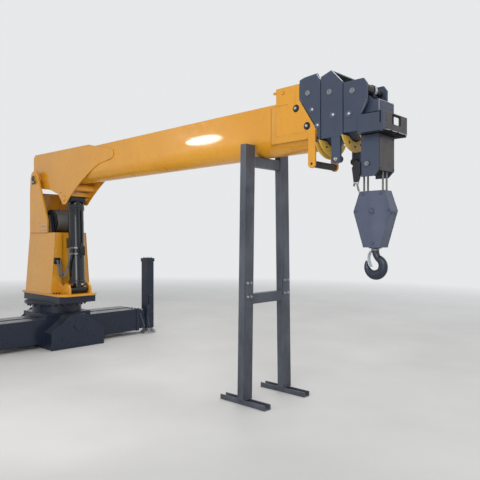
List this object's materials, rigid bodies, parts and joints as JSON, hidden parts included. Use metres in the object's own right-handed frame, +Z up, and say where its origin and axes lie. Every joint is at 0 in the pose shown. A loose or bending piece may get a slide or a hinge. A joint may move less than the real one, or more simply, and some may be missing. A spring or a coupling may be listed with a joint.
{
  "type": "truck-mounting telescopic crane unit",
  "caption": "Telescopic boom crane unit for a truck, parked retracted on its base with the boom on a steel trestle, hook block hanging.",
  "frame": {"origin": "slewing axis at the floor, in the underside of the base frame", "axes": "+X along the boom to its tip, +Y to the side away from the camera, +Z up"},
  "size_m": [5.26, 2.6398, 2.509],
  "materials": {
    "navy_paint": "semi-gloss",
    "yellow_paint": "gloss",
    "mustard_paint": "satin",
    "slate_paint": "semi-gloss",
    "black_paint": "satin",
    "ram_paint": "gloss",
    "steel": "machined",
    "black_rubber": "matt",
    "wire_rope": "oiled wire",
    "forged_steel": "painted, worn bare in the throat",
    "grey_steel": "grey primer"
  },
  "bodies": {
    "base": {"base_frame": "navy_paint", "slew_ring": "navy_paint", "outrigger_housing_far": "navy_paint", "outrigger_housing_near": "navy_paint", "stand_leg_near": "grey_steel", "stand_leg_far": "grey_steel", "stand_bar_top": "grey_steel", "stand_bar_middle": "grey_steel"},
    "outrigger_far": {"outrigger_beam_far": "navy_paint", "outrigger_leg_far": "navy_paint"},
    "jack_far": {"outrigger_jack_far": "steel"},
    "outrigger_near": {"outrigger_beam_near": "navy_paint", "outrigger_leg_near": "navy_paint"},
    "jack_near": {"outrigger_jack_near": "steel"},
    "slewing": {"slew_frame": "navy_paint", "turntable": "yellow_paint", "column": "yellow_paint", "tower": "yellow_paint", "column_fittings": "black_paint", "winch_brackets": "black_paint"},
    "winch": {"winch_drum": "black_paint"},
    "ram_barrel": {"ram_barrel": "ram_paint"},
    "ram_rod": {"ram_rod": "ram_paint"},
    "boom": {"boom_base": "yellow_paint", "boom_cheeks": "yellow_paint", "boom_collar": "yellow_paint", "guide_roller_base": "black_rubber", "wear_plate_base": "mustard_paint"},
    "section_2": {"boom_second": "slate_paint", "boom_second_roller": "steel", "wear_plate_second": "mustard_paint"},
    "section_3": {"boom_third": "slate_paint", "boom_third_roller": "steel", "guide_roller_third": "black_rubber", "wear_plate_third": "mustard_paint"},
    "section_4": {"boom_fourth": "slate_paint", "boom_fourth_roller": "steel", "tip_sheave": "steel"},
    "head": {"boom_head": "slate_paint", "head_sheaves": "black_paint", "jib_bracket": "slate_paint", "wedge_socket": "black_paint"},
    "hook_block": {"hook_block": "slate_paint", "block_sheaves": "black_paint", "hoist_falls": "wire_rope"},
    "hook": {"hook": "forged_steel"}
  },
  "joints": [
    {"name": "slew", "type": "hinge", "parent": "base", "child": "slewing", "pos_m": [0, 0, 0.538], "axis": [0, 0, 1], "continuous": true},
    {"name": "luff", "type": "hinge", "parent": "slewing", "child": "boom", "pos_m": [-0.18, 0, 2.08], "axis": [0, -1, 0], "range_deg": [0, 75]},
    {"name": "telescope_2", "type": "slide", "parent": "boom", "child": "section_2", "axis": [1, 0, 0], "range_m": [0, 2.8]},
    {"name": "telescope_3", "type": "slide", "parent": "section_2", "child": "section_3", "axis": [1, 0, 0], "range_m": [0, 2.8]},
    {"name": "telescope_4", "type": "slide", "parent": "section_3", "child": "section_4", "axis": [1, 0, 0], "range_m": [0, 2.8]},
    {"name": "telescope_5", "type": "slide", "parent": "section_4", "child": "head", "axis": [1, 0, 0], "range_m": [0, 2.8]},
    {"name": "hook_hang", "type": "hinge", "parent": "head", "child": "hook_block", "pos_m": [4.548, 0, 1.821], "axis": [0, 1, 0], "range_deg": [0, 75]},
    {"name": "hook_swivel", "type": "hinge", "parent": "hook_block", "child": "hook", "pos_m": [4.548, 0, 1.22], "axis": [0, 0, 1], "continuous": true},
    {"name": "ram_swing", "type": "hinge", "parent": "slewing", "child": "ram_barrel", "pos_m": [0.509, 0, 0.702], "axis": [0, -1, 0], "range_deg": [0, 5.12]},
    {"name": "ram_stroke", "type": "slide", "parent": "ram_barrel", "child": "ram_rod", "axis": [-0.0427, 0, 0.9991], "range_m": [0, 0.8429]},
    {"name": "winch_turn", "type": "hinge", "parent": "slewing", "child": "winch", "pos_m": [0.135, 0, 1.54], "axis": [0, 1, 0], "continuous": true},
    {"name": "outrigger_far_out", "type": "slide", "parent": "base", "child": "outrigger_far", "axis": [0, 1, 0], "range_m": [0, 0.9]},
    {"name": "outrigger_near_out", "type": "slide", "parent": "base", "child": "outrigger_near", "axis": [0, -1, 0], "range_m": [0, 0.9]},
    {"name": "jack_far_down", "type": "slide", "parent": "outrigger_far", "child": "jack_far", "axis": [0, 0, -1], "range_m": [0, 0.45]},
    {"name": "jack_near_down", "type": "slide", "parent": "outrigger_near", "child": "jack_near", "axis": [0, 0, -1], "range_m": [0, 0.45]}
  ],
  "couplings": [
    {"joint": "telescope_3", "follows": "telescope_2", "ratio": 1},
    {"joint": "telescope_4", "follows": "telescope_2", "ratio": 1},
    {"joint": "telescope_5", "follows": "telescope_2", "ratio": 1},
    {"joint": "hook_hang", "follows": "luff", "ratio": 1},
    {"joint": "ram_swing", "follows": "luff", "ratio": 0.06766},
    {"joint": "ram_stroke", "follows": "luff", "m_per_rad": 0.64315}
  ]
}
